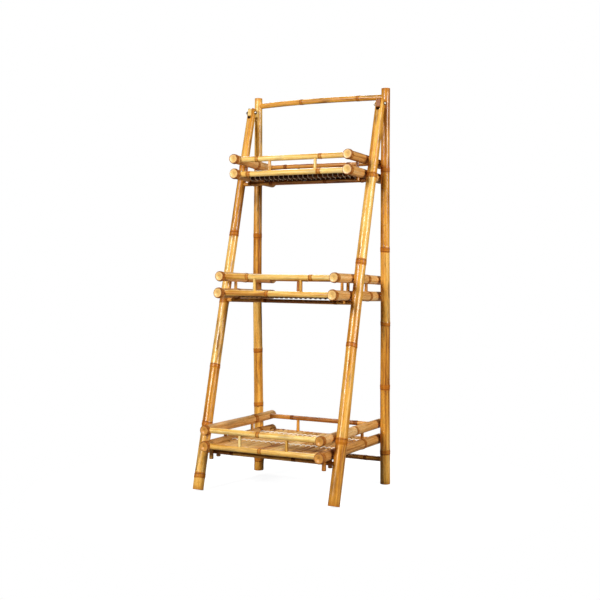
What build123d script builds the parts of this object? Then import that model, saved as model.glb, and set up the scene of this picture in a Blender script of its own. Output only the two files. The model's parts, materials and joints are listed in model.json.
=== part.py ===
from build123d import *
import os
from math import cos, radians, sin, tan

# Folding ladder shelf of round bamboo poles: a rear frame, a leaning front frame
# hinged to it near the top, and three galleried trays that rest on the front
# rungs and pivot on dowels in the rear posts.
# Millimetres, +X to the right, -Y to the front, +Z up, floor at Z = 0.

# ---- rear frame ----
HEIGHT = 1350.0
POST_X = 250.5                # half the distance between the post axes
POST_Y = 194.0                # plane of the posts
POST_R = {"left": (17.2, 13.6), "right": (17.0, 14.8)}     # at the foot, at the top
TOP_RAIL_Z = 1325.0
TOP_RAIL_R = 9.5
TOP_RAIL_BOW = 5.0            # rise of the bowed rail between its ends
SHORT_OF_AXIS = 3.0           # poles end this far before the axis of the post or leg
STRETCHER_Z = 84.0
STRETCHER_R = 8.5

# ---- folding hinge ----
LEAN = 15.25                  # degrees from upright
HINGE_Y = POST_Y - 47.5
HINGE_Z = 1292.0
TONGUE_THICK = {"left": 12.0, "right": 15.0}
TONGUE_TALL = 27.0
TONGUE_REACH = 17.5           # in front of the pin
TONGUE_CORNER = 5.0
BOLT_R = 3.0
HEAD_R = 5.5
HEAD_TALL = 5.0
NUT_FLATS = 10.0
NUT_TALL = 4.0
WASHER_R = 6.5
WASHER_THICK = 1.2
SHANK_REACH = 22.5            # bolt shank from the leg's axis to its bare end

# ---- front frame ----
LEG_X = 251.0
LEG_R = {"left": (14.2, 18.0), "right": (16.0, 19.0)}      # at the top, at the foot
LEG_ABOVE_PIN = 14.0
FORK_PLAY = 0.5               # on each side of the tongue
FORK_BELOW_PIN = 20.5         # where the slot starts to round off
RUNG_R = 6.5

# ---- trays ----
RAIL_X = 213.8                # half the distance between the side rails' axes
LOWER_R = 16.5
UPPER_R = 15.5
REAR_OVERHANG = 36.5          # rail behind the pivot
FRONT_SETBACK = 17.0          # front rail behind the side rails' front ends
FRONT_RAIL_R = 9.5
BACK_RAIL_Y = -3.0            # from the pivot
BACK_RAIL_R = 8.0
SPINDLE_R = 5.75
CROSS_SPINDLES = (0.28, 0.72)     # places along the front and back rails
SIDE_SPINDLES = (0.29, 0.68)      # places along the side rails
SLAT_COUNT = 21
SLAT_R = 8.5                  # of the pole that each half-round slat was split from
SLAT_FLAT = -1.0              # slats' flat underside, from the lower rails' axis
STICK_R = 5.5
STICKS = (0.335, 0.81)        # places of the cross sticks along the deck
LACING_R = 1.5
PEG_INSET = 5.0               # peg axis inside the side rail's axis
PIN_R = 5.0

# pivot_z: height of the pivot dowels; reach: side rails in front of the pivot;
# slope: degrees down to the rear; rise: from lower to upper rail axis;
# proud: how much further each side rail runs on in front; peg_r: radius of the pegs;
# tips: front and rear peg tips below the rung's axis; gaps: from pegs to rung
TRAYS = {
    "top": dict(
        pivot_z=1047.2, reach=225.4, slope=3.6, rise=50.0,
        proud=dict(lower_left=8.0, lower_right=4.0, upper_left=14.0, upper_right=4.0),
        peg_r=5.9, tips=(5.0, 5.0), gaps=(2.5, 6.0)),
    "middle": dict(
        pivot_z=641.2, reach=325.1, slope=2.7, rise=55.5,
        proud=dict(lower_left=11.0, lower_right=13.0, upper_left=4.0, upper_right=4.0),
        peg_r=5.9, tips=(5.0, 5.0), gaps=(2.5, 6.0)),
    "bottom": dict(
        pivot_z=148.5, reach=418.4, slope=0.8, rise=52.5,
        proud=dict(lower_left=2.0, lower_right=10.0, upper_left=1.0, upper_right=6.0),
        peg_r=7.2, tips=(22.0, 20.0), gaps=(3.5, 12.5)),
}

# ---- fits ----
RUN = 0.05                    # radial clearance of a running pin
GAP = 0.3                     # between pieces that move past or rest on each other
SOCKET = 12.0                 # how deep a pole sits in another
SHALLOW = 4.0                 # how deep a spindle or slat sits

# ---- bamboo ----
NODE_RISE = 0.8               # a node's ring above the pole
NODE_HALF = 3.0
EDGE = 0.8                    # broken edge of a sawn pole end
# places of the node rings along each pole: from the left, from the front, up a
# post, or down a leg
RINGS = {
    "rear_post_left": (0.03, 0.178, 0.324, 0.475, 0.631, 0.80),
    "rear_post_right": (0.08, 0.246, 0.406, 0.593, 0.795),
    "rear_stretcher": (0.36, 0.859),
    "front_leg_left": (0.16, 0.345, 0.524, 0.691, 0.837, 0.965),
    "front_leg_right": (0.20, 0.419, 0.623, 0.85),
    "front_rung_top": (0.238, 0.663),
    "front_rung_middle": (0.317, 0.852),
    "front_rung_bottom": (0.22, 0.686),
    "top_tray_front_rail_upper": (0.176, 0.753),
    "top_tray_front_rail_lower": (0.10, 0.743),
    "top_tray_back_rail_upper": (0.169, 0.769),
    "top_tray_back_rail_lower": (0.42,),
    "top_tray_upper_rail_left": (0.56,),
    "top_tray_upper_rail_right": (0.74,),
    "top_tray_lower_rail_left": (0.70,),
    "top_tray_lower_rail_right": (0.64,),
    "middle_tray_front_rail_upper": (0.224, 0.795),
    "middle_tray_front_rail_lower": (0.406,),
    "middle_tray_back_rail_upper": (0.37, 0.80),
    "middle_tray_back_rail_lower": (0.22, 0.66),
    "middle_tray_upper_rail_left": (0.47,),
    "middle_tray_upper_rail_right": (0.676,),
    "middle_tray_lower_rail_left": (0.34, 0.76),
    "middle_tray_lower_rail_right": (0.725,),
    "bottom_tray_front_rail_upper": (0.459,),
    "bottom_tray_front_rail_lower": (0.474,),
    "bottom_tray_back_rail_upper": (0.237, 0.84),
    "bottom_tray_back_rail_lower": (0.15, 0.60),
    "bottom_tray_upper_rail_left": (0.70,),
    "bottom_tray_upper_rail_right": (0.542,),
    "bottom_tray_lower_rail_left": (0.45, 0.78),
    "bottom_tray_lower_rail_right": (0.674,),
}

SIDES = (("left", -1), ("right", 1))
files = {}


def pole(name, start, end, r_start, r_end=None):
    """A tapered round pole with its raised node rings, sawn square at both ends."""
    r_end = r_start if r_end is None else r_end
    run = Vector(*end) - Vector(*start)
    length = run.length

    def radius(along):
        return r_start + (r_end - r_start) * along / length

    outline = [(0, 0), (r_start - EDGE, 0), (radius(EDGE), EDGE)]
    for place in RINGS[name]:
        at = place * length
        outline.append((radius(at - NODE_HALF), at - NODE_HALF))
        outline.append((radius(at) + NODE_RISE, at))
        outline.append((radius(at + NODE_HALF), at + NODE_HALF))
    outline += [(radius(length - EDGE), length - EDGE), (r_end - EDGE, length), (0, length)]
    section = make_face(Plane.XZ * Polyline(*outline, close=True))
    turned = revolve(section, Axis.Z)
    return Plane(origin=start, z_dir=run) * turned


def rod(start, end, radius):
    """A plain round stick with sharp ends."""
    run = Vector(*end) - Vector(*start)
    stick = Cylinder(radius, run.length, align=(Align.CENTER, Align.CENTER, Align.MIN))
    return Plane(origin=start, z_dir=run) * stick


def cut(body, *tools):
    for tool in tools:
        body = body - tool
    return body


def write(name, *solids):
    """One file for each node; a node of several pieces is a group of solids."""
    pieces = []
    for solid in solids:
        pieces += list(solid.solids())
    shape = pieces[0] if len(pieces) == 1 else Compound(children=pieces)
    export_step(shape, "parts/%s.step" % name)
    files[name] = shape


def across(half, y, z):
    return (-half, y, z), (half, y, z)


def leg_point(below_pin, side=0):
    """A point on the leg's axis, measured down the leg from the hinge pin."""
    y = HINGE_Y - below_pin * sin(radians(LEAN))
    z = HINGE_Z - below_pin * cos(radians(LEAN))
    return (side * LEG_X, y, z)


def tray_place(pivot_z, slope):
    """Carries a tray from its own frame, where the pivot is the origin."""
    return Location((0, POST_Y, pivot_z)) * Rotation(-slope, 0, 0)


def rung_point(pivot_z, slope):
    """Where the leg's axis passes a rung's height below the sloping side rails."""
    below = LOWER_R + GAP + RUNG_R
    rise = sin(radians(slope))
    level = cos(radians(slope))
    reach = tan(radians(LEAN))
    # the leg's line y = HINGE_Y - (HINGE_Z - z) * reach, put into the tray's frame
    z = (-below - (HINGE_Y - POST_Y - (HINGE_Z - pivot_z) * reach) * rise) / (level + reach * rise)
    y = HINGE_Y - (HINGE_Z - pivot_z - z) * reach
    return y, pivot_z + z


# ------------------------------------------------------------------ rear frame

def rear_frame():
    rail_end = POST_X - SHORT_OF_AXIS
    rail_arc = ThreePointArc((-rail_end, POST_Y, TOP_RAIL_Z - TOP_RAIL_BOW),
                             (0, POST_Y, TOP_RAIL_Z),
                             (rail_end, POST_Y, TOP_RAIL_Z - TOP_RAIL_BOW))
    rail_section = Plane(origin=rail_arc @ 0, z_dir=rail_arc % 0) * Circle(TOP_RAIL_R)
    top_rail = sweep(rail_section, path=rail_arc)
    stretcher = pole("rear_stretcher", *across(rail_end, POST_Y, STRETCHER_Z), STRETCHER_R)
    write("top_rail", top_rail)
    write("rear_stretcher", stretcher)

    pins = []
    for _, side in SIDES:
        for shape in TRAYS.values():
            inner = (side * (RAIL_X + 1.0), POST_Y, shape["pivot_z"])
            outer = (side * (POST_X - 4.0), POST_Y, shape["pivot_z"])
            pins.append(rod(inner, outer, PIN_R))
    write("tray_pivot_pins", *pins)

    bolt_hole = rod(*across(LEG_X + SHANK_REACH, HINGE_Y, HINGE_Z), BOLT_R)
    for name, side in SIDES:
        post = pole("rear_post_" + name, (side * POST_X, POST_Y, 0), (side * POST_X, POST_Y, HEIGHT),
                    *POST_R[name])
        tongue = hinge_tongue(name, side)
        write("rear_post_" + name, cut(post, top_rail, stretcher, tongue, *pins))
        write("hinge_tongue_" + name, cut(tongue, bolt_hole))


def hinge_tongue(name, side):
    """A flat bar from the post's middle past the pin, its two front corners rounded."""
    length = POST_Y - HINGE_Y + TONGUE_REACH
    bar = Pos(0, length / 2 - TONGUE_REACH, 0) * Box(TONGUE_THICK[name], length, TONGUE_TALL)
    front = bar.edges().filter_by(Axis.X).group_by(Axis.Y)[0]
    return Pos(side * LEG_X, HINGE_Y, HINGE_Z) * fillet(front, TONGUE_CORNER)


def hinge_hardware():
    """Round-headed bolts with the head to the right and a nut to the left."""
    bolts, washers, nuts = [], [], []
    ball = (HEAD_R ** 2 + HEAD_TALL ** 2) / (2 * HEAD_TALL)
    for name, side in SIDES:
        seat = LEG_R[name][0] + GAP           # from the leg's axis to the washer
        face = seat + WASHER_THICK
        place = Pos(side * LEG_X, HINGE_Y, HINGE_Z) * Rotation(0, 90, 0)
        shank = rod((0, 0, -SHANK_REACH), (0, 0, face), BOLT_R)
        dome = Pos(0, 0, face + HEAD_TALL - ball) * Sphere(ball)
        head = dome & (Pos(0, 0, face + HEAD_TALL / 2) * Cylinder(HEAD_R, HEAD_TALL))
        bolts.append(place * (shank + head))
        hexagon = RegularPolygon(NUT_FLATS / 2, 6, major_radius=False)
        nut = Pos(0, 0, -face - NUT_TALL) * extrude(hexagon, NUT_TALL)
        nuts.append(place * cut(nut, shank))
        for low in (-face, seat):
            disc = rod((0, 0, low), (0, 0, low + WASHER_THICK), WASHER_R)
            washers.append(place * cut(disc, shank))
    write("hinge_bolts", *bolts)
    write("hinge_washers", *washers)
    write("hinge_nuts", *nuts)


# ----------------------------------------------------------------- front frame

def front_frame():
    rungs = []
    for name, shape in TRAYS.items():
        y, z = rung_point(shape["pivot_z"], shape["slope"])
        rung = pole("front_rung_" + name, *across(LEG_X - SHORT_OF_AXIS, y, z), RUNG_R)
        write("front_rung_" + name, rung)
        rungs.append(rung)

    bolt_hole = rod(*across(LEG_X + SHANK_REACH, HINGE_Y, HINGE_Z), BOLT_R + RUN)
    for name, side in SIDES:
        foot_r = LEG_R[name][1]
        foot = (HINGE_Z - foot_r * sin(radians(LEAN))) / cos(radians(LEAN))
        leg = pole("front_leg_" + name, leg_point(-LEG_ABOVE_PIN, side), leg_point(foot, side),
                   *LEG_R[name])
        write("front_leg_" + name, cut(leg, fork_slot(name, side), bolt_hole, *rungs))


def fork_slot(name, side):
    """The slot sawn down the leg's top, with a round bottom."""
    width = TONGUE_THICK[name] + 2 * FORK_PLAY
    tall = FORK_BELOW_PIN + 2 * LEG_ABOVE_PIN
    deep = 4 * LEG_ABOVE_PIN
    opening = Pos(0, 0, tall / 2 - FORK_BELOW_PIN) * Box(width, deep, tall)
    bottom = Pos(0, 0, -FORK_BELOW_PIN) * Rotation(90, 0, 0) * Cylinder(width / 2, deep)
    return Pos(side * LEG_X, HINGE_Y, HINGE_Z) * Rotation(-LEAN, 0, 0) * (opening + bottom)


# ----------------------------------------------------------------------- trays

def tray(name, pivot_z, reach, slope, rise, proud, peg_r, tips, gaps):
    prefix = name + "_tray_"
    place = tray_place(pivot_z, slope)
    front = -reach
    front_y = front + FRONT_SETBACK
    inner = RAIL_X - LOWER_R + SOCKET

    cross = {}
    for level, z in (("lower", 0.0), ("upper", rise)):
        for node, y, radius in (("front_rail_", front_y, FRONT_RAIL_R),
                                ("back_rail_", BACK_RAIL_Y, BACK_RAIL_R)):
            cross[node + level] = pole(prefix + node + level, *across(inner, y, z), radius)

    spindles = tray_spindles(front, front_y, rise)
    slats = tray_slats(front_y)
    sticks, lacing = tray_sticks(front_y)
    pegs = tray_pegs(pivot_z, slope, peg_r, tips, gaps)
    pivot_bores = [rod((side * RAIL_X, 0, 0), (side * (RAIL_X + 2 * LOWER_R), 0, 0), PIN_R + RUN)
                   for _, side in SIDES]

    def put(node, *solids):
        write(prefix + node, *[place * solid for solid in solids])

    for node, rail in cross.items():
        put(node, cut(rail, *spindles, *slats))
    guests = (*cross.values(), *spindles, *sticks, *pegs)
    for side_name, side in SIDES:
        for level, z, radius in (("lower", 0.0, LOWER_R), ("upper", rise, UPPER_R)):
            node = "%s_rail_%s" % (level, side_name)
            tip = (side * RAIL_X, front - proud["%s_%s" % (level, side_name)], z)
            rail = pole(prefix + node, tip, (side * RAIL_X, REAR_OVERHANG, z), radius)
            put(node, cut(rail, *guests, *pivot_bores))
    put("spindles", *spindles)
    put("slats", *slats)
    put("cross_sticks", *sticks)
    put("lacing", *lacing)
    put("pegs", *pegs)


def tray_spindles(front, front_y, rise):
    spindles = []
    width = 2 * (RAIL_X - LOWER_R)
    for y, radius in ((front_y, FRONT_RAIL_R), (BACK_RAIL_Y, BACK_RAIL_R)):
        for place in CROSS_SPINDLES:
            x = width * (place - 0.5)
            low = (x, y, radius - SHALLOW)
            high = (x, y, rise - radius + SHALLOW)
            spindles.append(rod(low, high, SPINDLE_R))
    for _, side in SIDES:
        for place in SIDE_SPINDLES:
            y = front + (REAR_OVERHANG - front) * place
            low = (side * RAIL_X, y, LOWER_R - SHALLOW)
            high = (side * RAIL_X, y, rise - UPPER_R + SHALLOW)
            spindles.append(rod(low, high, SPINDLE_R))
    return spindles


def tray_slats(front_y):
    """Half-round slats from the front rail to the back rail, flat side down."""
    pitch = 2 * (RAIL_X - LOWER_R) / SLAT_COUNT
    start = front_y + SPINDLE_R + 0.25
    end = BACK_RAIL_Y - SPINDLE_R - 0.25
    slats = []
    for number in range(SLAT_COUNT):
        x = pitch * (number + 0.5 - SLAT_COUNT / 2)
        whole_pole = rod((x, start, SLAT_FLAT), (x, end, SLAT_FLAT), SLAT_R)
        lower_half = Pos(x, (start + end) / 2, SLAT_FLAT - SLAT_R) * Box(3 * SLAT_R, end - start, 2 * SLAT_R)
        slats.append(whole_pole - lower_half)
    return slats


def tray_sticks(front_y):
    """Two sticks under the slats, each with a cradle of cord along its underside."""
    sticks, lacing = [], []
    z = SLAT_FLAT - STICK_R - 0.1
    for place in STICKS:
        y = front_y + (BACK_RAIL_Y - front_y) * place
        stick = rod(*across(RAIL_X - LOWER_R + SHALLOW, y, z), STICK_R)
        half = RAIL_X - LOWER_R - 1.0
        wrap = rod(*across(half, y, z), STICK_R + 2 * LACING_R)
        below = Pos(0, y, z - STICK_R) * Box(2 * half, 4 * STICK_R, 2 * STICK_R)
        lacing.append(cut(wrap & below, stick))
        sticks.append(stick)
    return sticks, lacing


def tray_pegs(pivot_z, slope, peg_r, tips, gaps):
    """Dowels under the side rails, before and behind the front rung."""
    rung_y, rung_z = rung_point(pivot_z, slope)
    turn = radians(slope)
    along = (rung_y - POST_Y) * cos(turn) - (rung_z - pivot_z) * sin(turn)
    below = -(LOWER_R + GAP + RUNG_R)
    pegs = []
    for _, side in SIDES:
        x = side * (RAIL_X - PEG_INSET)
        for step, gap, tip in zip((-1, 1), gaps, tips):
            y = along + step * (RUNG_R + gap + peg_r)
            peg = rod((x, y, below - tip), (x, y, -LOWER_R + SOCKET / 2), peg_r)
            rim = peg.edges().group_by(Axis.Z)[0]
            pegs.append(fillet(rim, peg_r / 2))
    return pegs


os.makedirs("parts", exist_ok=True)
rear_frame()
hinge_hardware()
front_frame()
for tray_name, tray_shape in TRAYS.items():
    tray(tray_name, **tray_shape)
whole = Compound(children=list(files.values())).bounding_box()
print(len(files), "nodes, from", whole.min, "to", whole.max)
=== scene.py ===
import bmesh
import bpy
import json
import numpy as np
from math import atan2, cos, pi, radians, sin, sqrt
from mathutils import Matrix, Vector
from mathutils.kdtree import KDTree


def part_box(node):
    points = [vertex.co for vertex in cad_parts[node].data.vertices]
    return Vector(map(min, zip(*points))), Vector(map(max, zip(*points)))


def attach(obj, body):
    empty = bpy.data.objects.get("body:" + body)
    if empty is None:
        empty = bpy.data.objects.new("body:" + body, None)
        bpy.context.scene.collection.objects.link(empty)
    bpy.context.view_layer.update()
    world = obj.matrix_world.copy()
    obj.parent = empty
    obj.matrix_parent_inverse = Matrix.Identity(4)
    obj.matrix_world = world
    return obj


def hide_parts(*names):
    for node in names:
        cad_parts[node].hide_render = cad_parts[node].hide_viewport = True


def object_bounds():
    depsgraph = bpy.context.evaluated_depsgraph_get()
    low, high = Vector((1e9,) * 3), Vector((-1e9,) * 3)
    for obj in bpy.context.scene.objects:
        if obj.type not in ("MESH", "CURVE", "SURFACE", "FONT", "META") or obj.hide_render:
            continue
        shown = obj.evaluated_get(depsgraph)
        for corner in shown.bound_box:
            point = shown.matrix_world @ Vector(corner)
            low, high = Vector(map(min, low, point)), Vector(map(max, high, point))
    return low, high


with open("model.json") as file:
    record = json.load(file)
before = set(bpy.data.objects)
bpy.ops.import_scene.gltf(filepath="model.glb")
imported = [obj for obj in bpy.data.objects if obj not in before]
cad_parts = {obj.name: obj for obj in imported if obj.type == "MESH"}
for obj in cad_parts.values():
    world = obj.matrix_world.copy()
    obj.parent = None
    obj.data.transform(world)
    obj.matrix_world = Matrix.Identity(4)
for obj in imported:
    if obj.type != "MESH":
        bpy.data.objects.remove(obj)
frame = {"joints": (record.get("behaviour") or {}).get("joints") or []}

# A folding ladder shelf of bamboo poles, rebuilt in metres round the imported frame.
# Every pole is a turned mesh with raised node rings, a sawn end and its own grain.

cad_box = [list(corner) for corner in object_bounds()]
joints = {joint["name"]: joint for joint in frame["joints"]}

MM = 0.001

# ---- sizes shared with the frame ----
POST_X = 250.5 * MM
POST_R = {"left": (17.2 * MM, 13.6 * MM), "right": (17.0 * MM, 14.8 * MM)}
LEG_X = 251.0 * MM
LEG_R = {"left": (14.2 * MM, 18.0 * MM), "right": (16.0 * MM, 19.0 * MM)}
LEG_ABOVE_PIN = 14.0 * MM
LEAN = radians(15.25)
FORK_PLAY = 0.5 * MM
FORK_BELOW_PIN = 20.5 * MM
TONGUE_THICK = {"left": 12.0 * MM, "right": 15.0 * MM}
TONGUE_TALL = 27.0 * MM
TONGUE_REACH = 17.5 * MM
TONGUE_CORNER = 5.0 * MM
BOLT_R = 3.0 * MM
HEAD_R = 5.5 * MM
HEAD_TALL = 5.0 * MM
NUT_FLATS = 10.0 * MM
NUT_TALL = 4.0 * MM
WASHER_R = 6.5 * MM
WASHER_THICK = 1.2 * MM
SHANK_REACH = 22.5 * MM
PIN_R = 5.0 * MM
GAP = 0.3 * MM
RAIL_X = 213.8 * MM
LOWER_R = 16.5 * MM
UPPER_R = 15.5 * MM
REAR_OVERHANG = 36.5 * MM
FRONT_SETBACK = 17.0 * MM
FRONT_RAIL_R = 9.5 * MM
BACK_RAIL_R = 8.0 * MM
BACK_RAIL_Y = -3.0 * MM
RAIL_REACH = 209.3 * MM       # half length of a front or back rail
SPINDLE_R = 5.75 * MM
CROSS_SPINDLES = (0.28, 0.72)
SIDE_SPINDLES = (0.29, 0.68)
SLAT_COUNT = 21
SLAT_R = 8.5 * MM
SLAT_FLAT = -1.0 * MM
STICK_R = 5.5 * MM
STICKS = (0.335, 0.81)
CORD_R = 1.6 * MM
RUNG_R = 6.5 * MM
STRETCHER_R = 8.5 * MM
TOP_RAIL_R = 9.5 * MM
PEG_INSET = 5.0 * MM
SET_IN = 4.0 * MM             # how deep a spindle or a cross stick goes into its rail
TRAYS = {
    "top": dict(reach=225.4, slope=3.6, rise=50.0, peg_r=5.9, tips=(5.0, 5.0), gaps=(2.5, 6.0),
                proud=dict(lower_left=8, lower_right=4, upper_left=14, upper_right=4)),
    "middle": dict(reach=325.1, slope=2.7, rise=55.5, peg_r=5.9, tips=(5.0, 5.0), gaps=(2.5, 6.0),
                   proud=dict(lower_left=11, lower_right=13, upper_left=4, upper_right=4)),
    "bottom": dict(reach=418.4, slope=0.8, rise=52.5, peg_r=7.2, tips=(22.0, 20.0),
                   gaps=(3.5, 12.5),
                   proud=dict(lower_left=2, lower_right=10, upper_left=1, upper_right=6)),
}       # millimetres and degrees
SIDES = (("left", -1), ("right", 1))
TYPICAL_R = 15.5 * MM         # the pole that the shapes of nodes and buds are given for
COLLAR_AT = 8.0 * MM          # from a side rail's front end to its first ring
CROWN = 15                    # points over a slat's round side

# places of the node rings along each pole: from the left, from the front, up a
# post, or down a leg
RINGS = {
    "rear_post_left": (0.03, 0.178, 0.324, 0.475, 0.631, 0.80),
    "rear_post_right": (0.08, 0.246, 0.406, 0.593, 0.795),
    "rear_stretcher": (0.36, 0.859),
    "top_rail": (0.352, 0.799),
    "front_leg_left": (0.16, 0.345, 0.524, 0.691, 0.837, 0.965),
    "front_leg_right": (0.20, 0.419, 0.623, 0.85),
    "front_rung_top": (0.238, 0.663),
    "front_rung_middle": (0.317, 0.852),
    "front_rung_bottom": (0.22, 0.686),
}

# the same on the trays' rails: top, middle and bottom tray
TRAY_RINGS = {
    "front_rail_upper": ((0.176, 0.753), (0.224, 0.795), (0.459,)),
    "front_rail_lower": ((0.10, 0.743), (0.406,), (0.474,)),
    "back_rail_upper": ((0.169, 0.769), (0.37, 0.80), (0.237, 0.84)),
    "back_rail_lower": ((0.42,), (0.22, 0.66), (0.15, 0.60)),
    "upper_rail_left": ((0.56,), (0.47,), (0.70,)),
    "upper_rail_right": ((0.74,), (0.676,), (0.542,)),
    "lower_rail_left": ((0.70,), (0.34, 0.76), (0.45, 0.78)),
    "lower_rail_right": ((0.64,), (0.725,), (0.674,)),
}
for rail, trays in TRAY_RINGS.items():
    for name, rings in zip(TRAYS, trays):
        RINGS["%s_tray_%s" % (name, rail)] = rings

# how far the long poles stand off their straight lines at those rings, in
# millimetres to the right
BOWS = {
    "rear_post_left": (1.5, -0.8, -3.5, -6.0, -3.5, -2.0),
    "rear_post_right": (-0.5, -0.9, -0.8, -1.6, -0.8),
    "front_leg_left": (-1.0, -1.8, -1.5, -3.2, 0.3, -0.5),
    "front_leg_right": (-1.0, -2.5, -1.9, 1.4),
}

# buds and knots on the long poles: place along the pole, degrees round it from the
# front to the right, size in millimetres, darkness
KNOTS = {
    "rear_post_left": ((0.172, 20, 5.0, 0.9), (0.024, 40, 4.0, 0.7)),
    "rear_post_right": ((0.237, 22, 4.2, 1.0), (0.600, 12, 5.5, 0.45), (0.655, 20, 3.2, 0.6)),
    "front_leg_left": ((0.952, -20, 3.5, 0.8), (0.352, 0, 4.0, 0.5)),
    "front_leg_right": ((0.036, 50, 2.2, 1.0), (0.432, -10, 4.0, 0.6), (0.632, 10, 6.0, 0.5),
                        (0.643, -30, 5.0, 0.4)),
}


# ---- materials ----

def srgb(red, green, blue):
    """An sRGB colour, 0 to 255, as linear light."""
    def linear(value):
        value /= 255
        return value / 12.92 if value <= 0.04045 else ((value + 0.055) / 1.055) ** 2.4
    return (linear(red), linear(green), linear(blue), 1.0)


class Shader:
    """A short way to lay out the nodes of a material or a world."""

    def __init__(self, name, kind="materials", surface="Principled BSDF"):
        self.owner = getattr(bpy.data, kind).new(name)
        self.owner.use_nodes = True
        self.tree = self.owner.node_tree
        self.surface = self.tree.nodes[surface]

    def node(self, kind, inputs=(), output=0, **settings):
        """Adds a node and gives its output."""
        made = self.tree.nodes.new("ShaderNode" + kind)
        for key, value in settings.items():
            setattr(made, key, value)
        for socket, value in dict(inputs).items():
            self.feed(made.inputs[socket], value)
        return made.outputs[output]

    def feed(self, socket, value):
        """Links or sets a socket; a colour of three numbers is sRGB."""
        if isinstance(value, bpy.types.NodeSocket):
            self.tree.links.new(value, socket)
        elif socket.type == "RGBA" and len(value) == 3:
            socket.default_value = srgb(*value)
        else:
            socket.default_value = value

    def attribute(self, name, output="Fac"):
        return self.node("Attribute", (), output, attribute_name=name)

    def noise(self, vector, scale, detail, rough):
        stretched = self.node("Mapping", {"Vector": vector, "Scale": scale})
        return self.node("TexNoise", {"Vector": stretched, "Scale": 1.0, "Detail": detail,
                                      "Roughness": rough}, "Fac")

    def ramp(self, value, *stops, smooth=False):
        made = self.node("ValToRGB", {"Fac": value}, "Color")
        ramp = made.node.color_ramp
        ramp.interpolation = "EASE" if smooth else "LINEAR"
        while len(ramp.elements) < len(stops):
            ramp.elements.new(0.5)
        for element, (place, colour) in zip(ramp.elements, stops):
            element.position = place
            grey = (colour, colour, colour, 1.0)
            element.color = srgb(*colour) if isinstance(colour, tuple) else grey
        return made

    def mix(self, factor, first, second):
        return self.node("Mix", {0: factor, 6: first, 7: second}, 2, data_type="RGBA")

    def math(self, operation, *values):
        return self.node("Math", enumerate(values), operation=operation)

    def times(self, first, second):
        return self.math("MULTIPLY", first, second)

    def scaled(self, value, factor, added):
        return self.math("MULTIPLY_ADD", value, factor, added)

    def bump(self, height, strength, distance, normal=None):
        inputs = {"Height": height, "Strength": strength, "Distance": distance}
        if normal:
            inputs["Normal"] = normal
        return self.node("Bump", inputs)

    def finish(self, **inputs):
        for name, value in inputs.items():
            self.feed(self.surface.inputs[name.replace("_", " ")], value)
        return self.owner


def bamboo_material(name, colours, rough, coat, speckle, smoke):
    """Lacquered bamboo skin: long fibres, tone by internode, smoky clouds, fine specks and
    a burnt band between two thin lines at each node."""
    pale, light, middle, dark, ring = colours
    mat = Shader(name)
    grain = mat.attribute("grain", "Vector")
    fibres = mat.noise(grain, (1000.0, 1000.0, 8.0), 3.0, 0.62)
    streaks = mat.noise(grain, (170.0, 170.0, 4.0), 3.0, 0.6)
    clouds = mat.noise(grain, (48.0, 48.0, 10.0), 3.0, 0.6)
    mottle = mat.noise(grain, (280.0, 280.0, 80.0), 3.0, 0.65)
    tone = mat.attribute("tone")

    shade = mat.scaled(streaks, 0.75, mat.times(tone, 0.30))
    shade = mat.scaled(clouds, 0.45, shade)
    shade = mat.scaled(fibres, 0.30, mat.math("SUBTRACT", shade, 0.40))
    colour = mat.ramp(shade, (0.30, dark), (0.42, middle), (0.55, light), (0.70, pale))
    sooty = mat.mix(0.6, dark, (92, 42, 6))
    cloudy = mat.scaled(fibres, 0.25, clouds)
    haze = mat.ramp(cloudy, (0.66, 0.0), (0.84, 1.0))
    colour = mat.mix(mat.times(haze, smoke), colour, sooty)
    stain = mat.ramp(mottle, (0.54, 0.0), (0.70, 1.0))
    colour = mat.mix(mat.times(stain, 0.38), colour, dark)

    lines = mat.noise(grain, (620.0, 620.0, 9.0), 2.0, 0.5)
    veins = mat.ramp(lines, (0.58, 0.0), (0.70, 1.0))
    colour = mat.mix(mat.times(veins, 0.30), colour, sooty)

    dots = mat.noise(grain, (650.0, 650.0, 240.0), 1.0, 0.4)
    pores = mat.ramp(dots, (0.64, 0.0), (0.72, 1.0))
    colour = mat.mix(mat.times(pores, speckle), colour, sooty)

    # On the slats, band and scar also hold painted shade along each slat's edges, shown as the
    # burnt band colour and as char.
    band = mat.attribute("band")
    bleed = mat.scaled(streaks, 0.5, mat.times(fibres, 0.6))
    ragged = mat.math("ADD", bleed, mat.math("SUBTRACT", band, 0.55))
    burnt = mat.mix(mat.ramp(streaks, (0.40, 0.0), (0.66, 0.55)), ring, middle)
    colour = mat.mix(mat.ramp(ragged, (0.30, 0.0), (0.60, 0.92)), colour, burnt)
    char = mat.mix(0.6, ring, (44, 18, 2))
    scar = mat.attribute("scar")
    worn = mat.scaled(mottle, 0.8, mat.math("SUBTRACT", scar, 0.4))
    colour = mat.mix(mat.ramp(worn, (0.22, 0.0), (0.75, 0.9)), colour, char)

    gloss = mat.scaled(mottle, 0.22, rough - 0.08)
    gloss = mat.scaled(band, 0.16, gloss)
    dents = mat.noise(grain, (75.0, 75.0, 22.0), 2.0, 0.5)
    normal = mat.bump(dents, 0.6, 1.7 * MM)
    relief = mat.scaled(fibres, 0.6, mottle)
    normal = mat.bump(relief, 0.4, 0.25 * MM, normal)
    lacquer = mat.scaled(band, -0.8 * coat, coat) if coat else 0.0
    sheen = mat.scaled(band, -0.22, 0.30)
    return mat.finish(Base_Color=colour, Roughness=gloss, Normal=normal, Coat_Weight=lacquer,
                      Specular_IOR_Level=sheen, Coat_Roughness=0.20, Coat_Normal=normal)


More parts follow.
